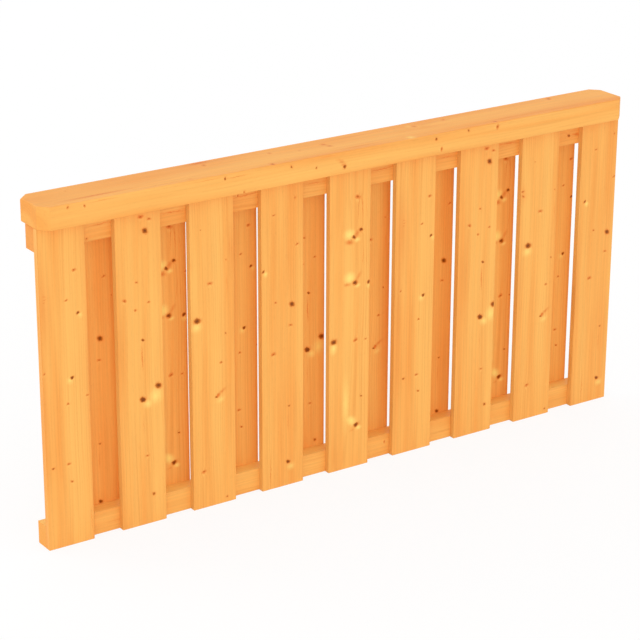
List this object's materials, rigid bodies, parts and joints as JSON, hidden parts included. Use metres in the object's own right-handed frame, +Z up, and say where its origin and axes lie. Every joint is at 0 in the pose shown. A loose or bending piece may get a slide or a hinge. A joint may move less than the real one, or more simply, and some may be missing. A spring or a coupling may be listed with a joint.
{
  "type": "wooden balustrade panel",
  "caption": "Wooden balustrade panel: upright boards on alternate sides of two rails, under a wide handrail with cut corners, to close a terrace or veranda bay.",
  "frame": {"origin": "on the plane under the board ends, below the middle of the handrail", "axes": "+X along the panel to its right end seen from the front, +Y from the front boards to the back boards, +Z up"},
  "size_m": [1.8, 0.132, 0.898],
  "materials": {
    "front_board_wood": "planed softwood with a clear honey stain",
    "back_board_wood": "planed softwood with a clear honey stain",
    "rail_wood": "planed softwood with a clear honey stain",
    "handrail_wood": "planed and rounded softwood with a clear honey stain",
    "screw_steel": "bright galvanised"
  },
  "bodies": {
    "root": {"handrail": "handrail_wood", "upper_rail": "rail_wood", "lower_rail": "rail_wood", "front_board_1": "front_board_wood", "front_board_2": "front_board_wood", "front_board_3": "front_board_wood", "front_board_4": "front_board_wood", "front_board_5": "front_board_wood", "front_board_6": "front_board_wood", "front_board_7": "front_board_wood", "front_board_8": "front_board_wood", "front_board_9": "front_board_wood", "back_board_1": "back_board_wood", "back_board_2": "back_board_wood", "back_board_3": "back_board_wood", "back_board_4": "back_board_wood", "back_board_5": "back_board_wood", "back_board_6": "back_board_wood", "back_board_7": "back_board_wood", "back_board_8": "back_board_wood", "front_board_screws": "screw_steel", "back_board_screws": "screw_steel", "handrail_screws": "screw_steel"}
  },
  "joints": []
}
